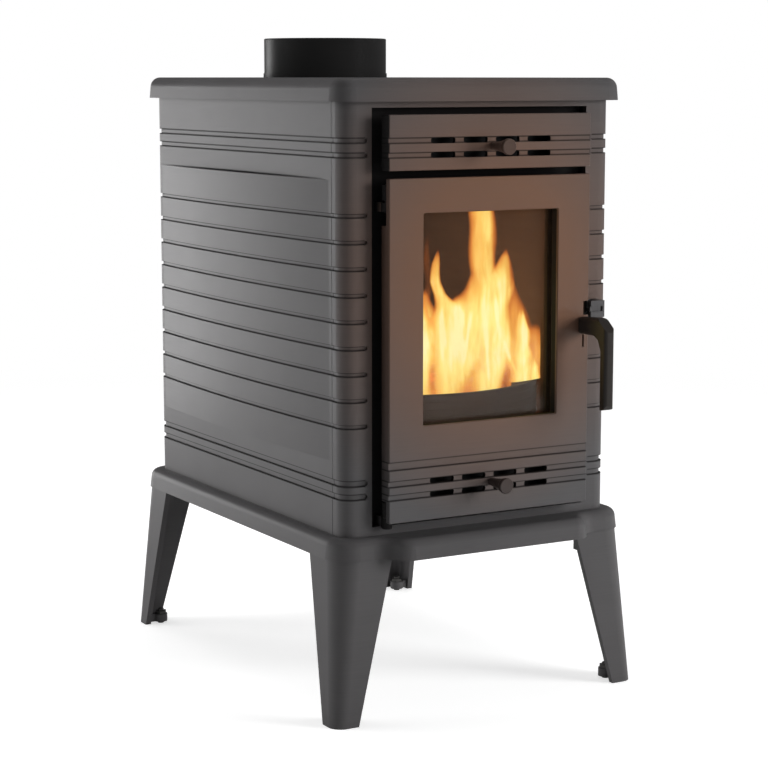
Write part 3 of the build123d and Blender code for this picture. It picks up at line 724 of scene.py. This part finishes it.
# Thin bright threads inside the front flames: (height, place) of the upper and of the lower end.
threads = [((440, 19), (378, 9)), ((455, -20), (380, -20)), ((455, 52), (400, 60)),
           ((440, 8), (385, -4)), ((430, 38), (340, 45)), ((400, 66), (356, 88))]

flameSheets = {
    "flame_front": {"tongues": frontTongues, "depth": 54 * mm, "bow": 1.4, "low": 326 * mm, "threaded": True},
    "flame_rear": {"tongues": rearTongues, "depth": 176 * mm, "bow": 0.0, "low": 345 * mm, "threaded": False},
}

flameShape = {
    "left": -128 * mm,
    "right": 130 * mm,
    "ceiling": 598 * mm,
    "columns": 260,
    "rows": 130,
    "tries": 400,              # heights tested to find each column's top
    "faintest": 0.02,
    "least": 8 * mm,
    "smooth": 7,               # columns to each side that share a top
    "overGuard": 80 * mm,      # beyond this the sheet starts above the log guard
    "clearance": 2 * mm,
    "thin": 0.5 * mm,
    "swell": 5 * mm,
    "sway": 1.6 * mm,
    "swayLength": 11 * mm,
    "swayShift": 90,
    "widen": 1.38,
    "tipAbove": 5 * mm,
    "tipFade": 12 * mm,
    "threadHalf": 2.6 * mm,
}

flameLook = {
    "colours": [(0.05, (0.62, 0.12, 0.012, 1)), (0.30, (1.0, 0.30, 0.045, 1)), (0.58, (1.0, 0.56, 0.11, 1)),
                (0.84, (1.0, 0.84, 0.25, 1)), (1.0, (1.0, 0.94, 0.46, 1))],
    "strength": 1.32,
    "cover": (0.06, 0.74, 0.94),   # heat where it begins, heat where it is full, and how full
    "streaks": (62, 62, 13),
    "streakHeat": (-0.34, 0.26),
    "bend": 22.0,
    "bendStretch": (1, 1, 0.6),
    "threadHeat": 0.35,
}


def heatOf(tongues, x, z):
    # Each tongue is 1 - (offset / half width)^2 across, times its heat, faded out above its tip.
    # Tongues join like overlapping lights: 1 minus the product of what each one leaves dark.
    shape = flameShape
    dark = np.ones_like(x)
    for rows in tongues:
        level, middle, half, heat = np.array(rows[::-1], float).T * np.array([[mm], [mm], [mm], [1]])
        sway = shape["sway"] * np.sin(z / shape["swayLength"] + middle[0] * shape["swayShift"])
        offset = (x - np.interp(z, level, middle) - sway) / (np.interp(z, level, half) * shape["widen"])
        fade = np.clip((level[-1] + shape["tipAbove"] - z) / shape["tipFade"], 0, 1)
        across = np.clip(1 - offset ** 2, 0, 1)
        dark *= 1 - np.clip(across * np.interp(z, level, heat) * fade, 0, 0.999)
    return 1 - dark


def threadHeat(x, z):
    # A narrow bell across each thread, faded out at both ends.
    total = np.zeros_like(x)
    for (top, topX), (low, lowX) in threads:
        s = np.clip((z / mm - low) / (top - low), 0, 1)
        offset = (x - (lowX + (topX - lowX) * s) * mm) / flameShape["threadHalf"]
        inside = (z / mm > low) & (z / mm < top)
        total += np.exp(-offset ** 2) * np.sin(np.pi * s) * inside
    return np.clip(total, 0, 1)


def slidingWindows(values, width):
    return np.lib.stride_tricks.sliding_window_view(values, width)


def flameTops(tongues, x, low):
    # Per column the highest place with heat, raised to the highest one near by and then averaged.
    shape = flameShape
    gridX, gridZ = np.meshgrid(x, np.linspace(low, shape["ceiling"], shape["tries"]))
    lit = heatOf(tongues, gridX, gridZ) > shape["faintest"]
    top = np.where(lit, gridZ, low + shape["least"]).max(axis=0)
    width = 2 * shape["smooth"] + 1
    padded = np.pad(top, 2 * shape["smooth"], mode="edge")
    return slidingWindows(slidingWindows(padded, width).max(axis=1), width).mean(axis=1)


def flameMesh(name, spec, material):
    # A sheet whose upper edge follows the tongues. It swells to both sides with the heat.
    shape = flameShape
    low = spec["low"]
    x = np.linspace(shape["left"], shape["right"], shape["columns"])
    top = flameTops(spec["tongues"], x, low)
    overGuard = np.maximum(low, guardTop + shape["clearance"])
    bottom = np.where(np.abs(x) > shape["overGuard"], overGuard, low)
    v = np.linspace(0, 1, shape["rows"])[:, None]
    z = bottom + v * (top + shape["clearance"] - bottom)
    x = np.broadcast_to(x, z.shape)
    heat = heatOf(spec["tongues"], x, z)
    core = threadHeat(x, z) if spec["threaded"] else np.zeros_like(heat)
    middle = frontY + spec["depth"] + spec["bow"] * x ** 2
    swell = shape["thin"] + shape["swell"] * heat
    front = np.stack([x, middle - swell, z], axis=-1)
    back = np.stack([x, middle + swell, z], axis=-1)
    obj = joinSheets(name, front, back, material)
    for label, values in (("burn", heat), ("thread", core)):
        layer = obj.data.attributes.new(label, "FLOAT", "POINT")
        layer.data.foreach_set("value", np.concatenate([values.ravel(), values.ravel()]))
    return obj


def colourRamp(tree, value, stops):
    ramp = addNode(tree, "ShaderNodeValToRGB", {"Fac": value})
    bar = ramp.color_ramp
    bar.elements[0].position, bar.elements[0].color = stops[0]
    bar.elements[1].position, bar.elements[1].color = stops[-1]
    for place, colour in stops[1:-1]:
        bar.elements.new(place).color = colour
    return ramp.outputs["Color"]


def flameMaterial(name, look):
    # Heat, broken up by rising streaks, sets the cover and the colour, from dark orange to pale yellow.
    mat, tree = newMaterial(name)
    heat = addNode(tree, "ShaderNodeAttribute", attribute_name="burn").outputs["Fac"]
    core = addNode(tree, "ShaderNodeAttribute", attribute_name="thread").outputs["Fac"]
    bend = addNode(tree, "ShaderNodeTexNoise", {
        "Vector": objectPoint(tree, look["bendStretch"]), "Scale": look["bend"], "Detail": 2.0})
    bent = addNode(tree, "ShaderNodeVectorMath", {
        0: objectPoint(tree, look["streaks"]), 1: bend.outputs["Color"]}, operation="ADD")
    streaks = spread(tree, noise(tree, bent.outputs[0], 1.0), *look["streakHeat"])
    level = plus(tree, plus(tree, heat, times(tree, streaks, heat)), times(tree, core, look["threadHeat"]))
    begins, full, most = look["cover"]
    clear = addNode(tree, "ShaderNodeBsdfTransparent", {"Color": white}).outputs[0]
    glow = emission(tree, colourRamp(tree, level, look["colours"]), look["strength"])
    closeMaterial(tree, mixShaders(tree, remap(tree, level, begins, full, 0.0, most), clear, glow))
    return mat


fire = flameMaterial("wood flames", flameLook)
for name, spec in flameSheets.items():
    flame = flameMesh(name, spec, fire)
    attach(flame, "stove")
print("fire made")


# Embers: a bed of lumps on the grate
emberLook = dict(logLook, glow=5.0, cracks=120.0)

emberShape = {
    "width": 118 * mm,
    "front": 40 * mm,          # behind the body's front face
    "bow": 3.4,
    "back": 205 * mm,
    "thick": 5 * mm,
    "lumps": 4 * mm,
    "steepness": 12,
    "gap": 0.1 * mm,
    "edge": 0.4 * mm,
    "columns": 120,
    "rows": 90,
}


def emberBed(name, shape, material):
    # Height = edge plus thickness plus three crossed sine waves, falling off towards the rim.
    u, v = np.meshgrid(np.linspace(-1, 1, shape["columns"]), np.linspace(0, 1, shape["rows"]))
    x = u * shape["width"]
    nearY = shape["front"] + shape["bow"] * x ** 2
    y = frontY + nearY + v * (shape["back"] - nearY)
    lumps = np.sin(x * 410 + 3 * np.sin(y * 150)) + np.sin(y * 370 + 2 * x * 90) + np.sin((x + y) * 260)
    rim = np.clip(np.minimum(1 - np.abs(u), np.minimum(v, 1 - v)) * shape["steepness"], 0, 1)
    z = grateTop + shape["edge"] + rim * (shape["thick"] + shape["lumps"] * lumps / 3)
    under = np.full_like(x, grateTop + shape["gap"])
    return joinSheets(name, np.stack([x, y, z], axis=-1), np.stack([x, y, under], axis=-1), material)


embers = emberBed("ember_bed", emberShape, charredWood("glowing embers", emberLook))
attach(embers, "stove")
print("embers made")


# Floor and backdrop
floorLook = {"colour": (0.80, 0.80, 0.80, 1), "lift": 0.62, "half": 9.0, "fadeFrom": 0.9, "fadeTo": 2.6}
worldLook = {"fill": 0.13, "seen": 1.0}


def seenDirectly(tree):
    rays = addNode(tree, "ShaderNodeLightPath")
    return larger(tree, rays.outputs["Is Camera Ray"], rays.outputs["Is Transmission Ray"])


def floorMaterial(look):
    # Matt and pale. Seen directly it is lifted to white, and it ends in plain white far from the object.
    mat, tree = newMaterial("pale floor")
    away = addNode(tree, "ShaderNodeVectorMath", {0: objectPoint(tree)}, operation="LENGTH").outputs["Value"]
    far = remap(tree, away, look["fadeFrom"], look["fadeTo"], 0, 1)
    plain = addNode(tree, "ShaderNodeBsdfDiffuse", {"Color": look["colour"]}).outputs[0]
    lift = emission(tree, white, look["lift"])
    lifted = addNode(tree, "ShaderNodeAddShader", {0: plain, 1: lift}).outputs[0]
    direct = mixShaders(tree, far, lifted, emission(tree, white, 1.0))
    closeMaterial(tree, mixShaders(tree, seenDirectly(tree), plain, direct))
    return mat


half = floorLook["half"]
corners = np.array([(-half, -half, 0), (half, -half, 0), (half, half, 0), (-half, half, 0)])
floor = putMesh("floor", corners, np.array([[0, 1, 2, 3]]), floorMaterial(floorLook), smooth=False)

world = bpy.data.worlds.new("studio")
scene.world = world
world.use_nodes = True
sky = world.node_tree
back = sky.nodes["Background"]
back.inputs["Color"].default_value = white
strength = remap(sky, seenDirectly(sky), 0, 1, worldLook["fill"], worldLook["seen"])
sky.links.new(strength, back.inputs["Strength"])

# Lamps. A lamp that is not glossy gives soft light without a reflection of its own.
lamps = {
    "sideGloss": {"at": (-0.75, 2.00, 0.28), "size": (0.7, 1.2), "power": 9, "glossy": True},
    "sideSoft": {"at": (-2.5, 1.4, 0.9), "size": (1.6, 1.6), "power": 45, "glossy": False},
    "frontSoft": {"at": (2.3, -2.5, 1.1), "size": (1.4, 1.4), "power": 96, "glossy": False},
    "top": {"at": (0.4, 0.8, 3.0), "size": (2.2, 2.2), "power": 30, "glossy": False},
}
lampAim = Vector((0, 0, 0.4))


def placeLamp(name, data, at, glossy):
    obj = bpy.data.objects.new(name, data)
    obj.location = at
    obj.visible_camera = False
    obj.visible_glossy = glossy
    scene.collection.objects.link(obj)
    return obj


for name, lamp in lamps.items():
    data = bpy.data.lights.new(name, "AREA")
    data.shape = "RECTANGLE"
    data.size, data.size_y = lamp["size"]
    data.energy = lamp["power"]
    obj = placeLamp(name, data, lamp["at"], lamp["glossy"])
    obj.rotation_euler = (lampAim - Vector(lamp["at"])).to_track_quat("-Z", "Y").to_euler()

fireLight = {"at": (-0.04, frontY + 0.16, 0.46), "radius": 0.05, "power": 1.3, "colour": (1.0, 0.52, 0.27)}
data = bpy.data.lights.new("fireLight", "POINT")
data.energy = fireLight["power"]
data.color = fireLight["colour"]
data.shadow_soft_size = fireLight["radius"]
placeLamp("fireLight", data, fireLight["at"], False)

view = {"lens": 98.73, "sensor": 36, "at": (-1.2368, -2.1756, 0.6992), "pitch": 81.67, "yaw": -29.66}
camData = bpy.data.cameras.new("camera")
camData.lens = view["lens"]
camData.sensor_width = view["sensor"]
camera = bpy.data.objects.new("camera", camData)
camera.location = view["at"]
camera.rotation_euler = (math.radians(view["pitch"]), 0, math.radians(view["yaw"]))
scene.collection.objects.link(camera)
scene.camera = camera
print("light and camera set")
